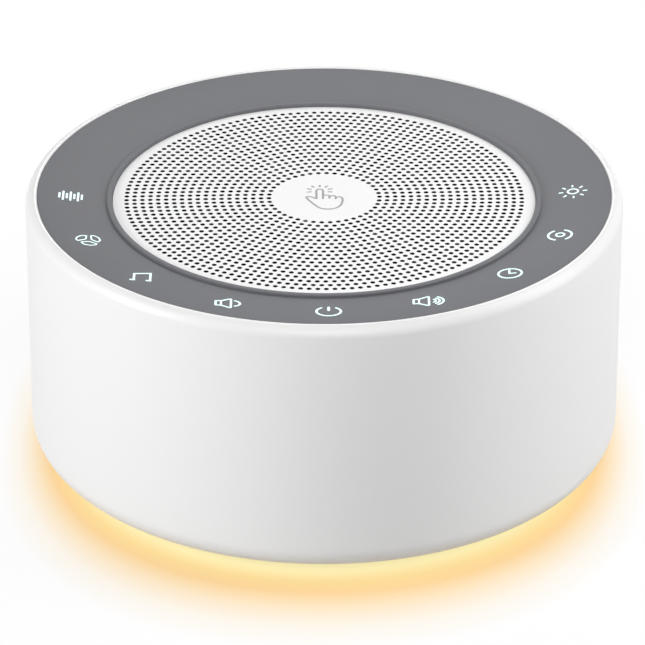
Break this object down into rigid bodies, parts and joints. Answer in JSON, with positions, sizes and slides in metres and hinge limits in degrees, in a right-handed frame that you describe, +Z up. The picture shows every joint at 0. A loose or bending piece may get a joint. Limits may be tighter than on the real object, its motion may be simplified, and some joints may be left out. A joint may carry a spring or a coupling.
{
  "type": "white noise sound machine",
  "caption": "Round bedside sound machine with a sloping touch band of lit symbols, a perforated speaker grille on top and a warm night light under its lower edge.",
  "frame": {"origin": "centre of the body at the surface it stands on", "axes": "+Z up; -Y is the front, where the power symbol is; +Y is the back, with the power inlet"},
  "size_m": [0.11, 0.11, 0.0525],
  "materials": {
    "shell_white": "satin moulded white",
    "panel_gray": "matte warm gray touch band",
    "grille_white": "smooth white paint on perforated sheet",
    "inner_black": "matte black",
    "board_green": "solder mask over glass laminate",
    "board_white": "white solder mask",
    "lamp_cool": "small lamp, lit",
    "lamp_warm": "small lamp, lit",
    "speaker_steel": "black enamel",
    "yoke_steel": "zinc plated",
    "magnet_nickel": "nickel plated",
    "cone_paper": "pressed black paper",
    "coil_copper": "enamelled winding",
    "surround_rubber": "soft black",
    "spider_cloth": "resin-dipped cloth",
    "chip_black": "matte",
    "capacitor_alu": "drawn can",
    "socket_cream": "plain",
    "inlet_steel": "bright plated",
    "diffuser_warm": "translucent, lit warm from behind",
    "base_white": "fine moulded texture",
    "feet_rubber": "matte"
  },
  "bodies": {
    "housing": {"outer_shell": "shell_white", "touch_panel": "panel_gray", "speaker_deck": "inner_black", "speaker_grille": "grille_white", "icon_light_wells": "inner_black", "touch_board": "board_green", "icon_lamps": "lamp_cool", "speaker_frame": "speaker_steel", "speaker_yoke": "yoke_steel", "speaker_magnet": "magnet_nickel", "cone_surround": "surround_rubber", "cone_spider": "spider_cloth", "main_board": "board_green", "board_chips": "chip_black", "board_capacitors": "capacitor_alu", "board_sockets": "socket_cream", "power_inlet": "inlet_steel", "power_inlet_tongue": "chip_black", "light_diffuser": "diffuser_warm", "night_light_board": "board_white", "night_light_lamps": "lamp_warm", "base_cover": "base_white", "rubber_feet": "feet_rubber"},
    "cone": {"speaker_cone": "cone_paper", "voice_coil": "coil_copper"}
  },
  "joints": [
    {"name": "cone_travel", "type": "slide", "parent": "housing", "child": "cone", "axis": [0, 0, 1], "range_m": [-0.0015, 0.0015], "stiffness_N_per_m": 600, "deforming": ["cone_surround", "cone_spider"]}
  ]
}
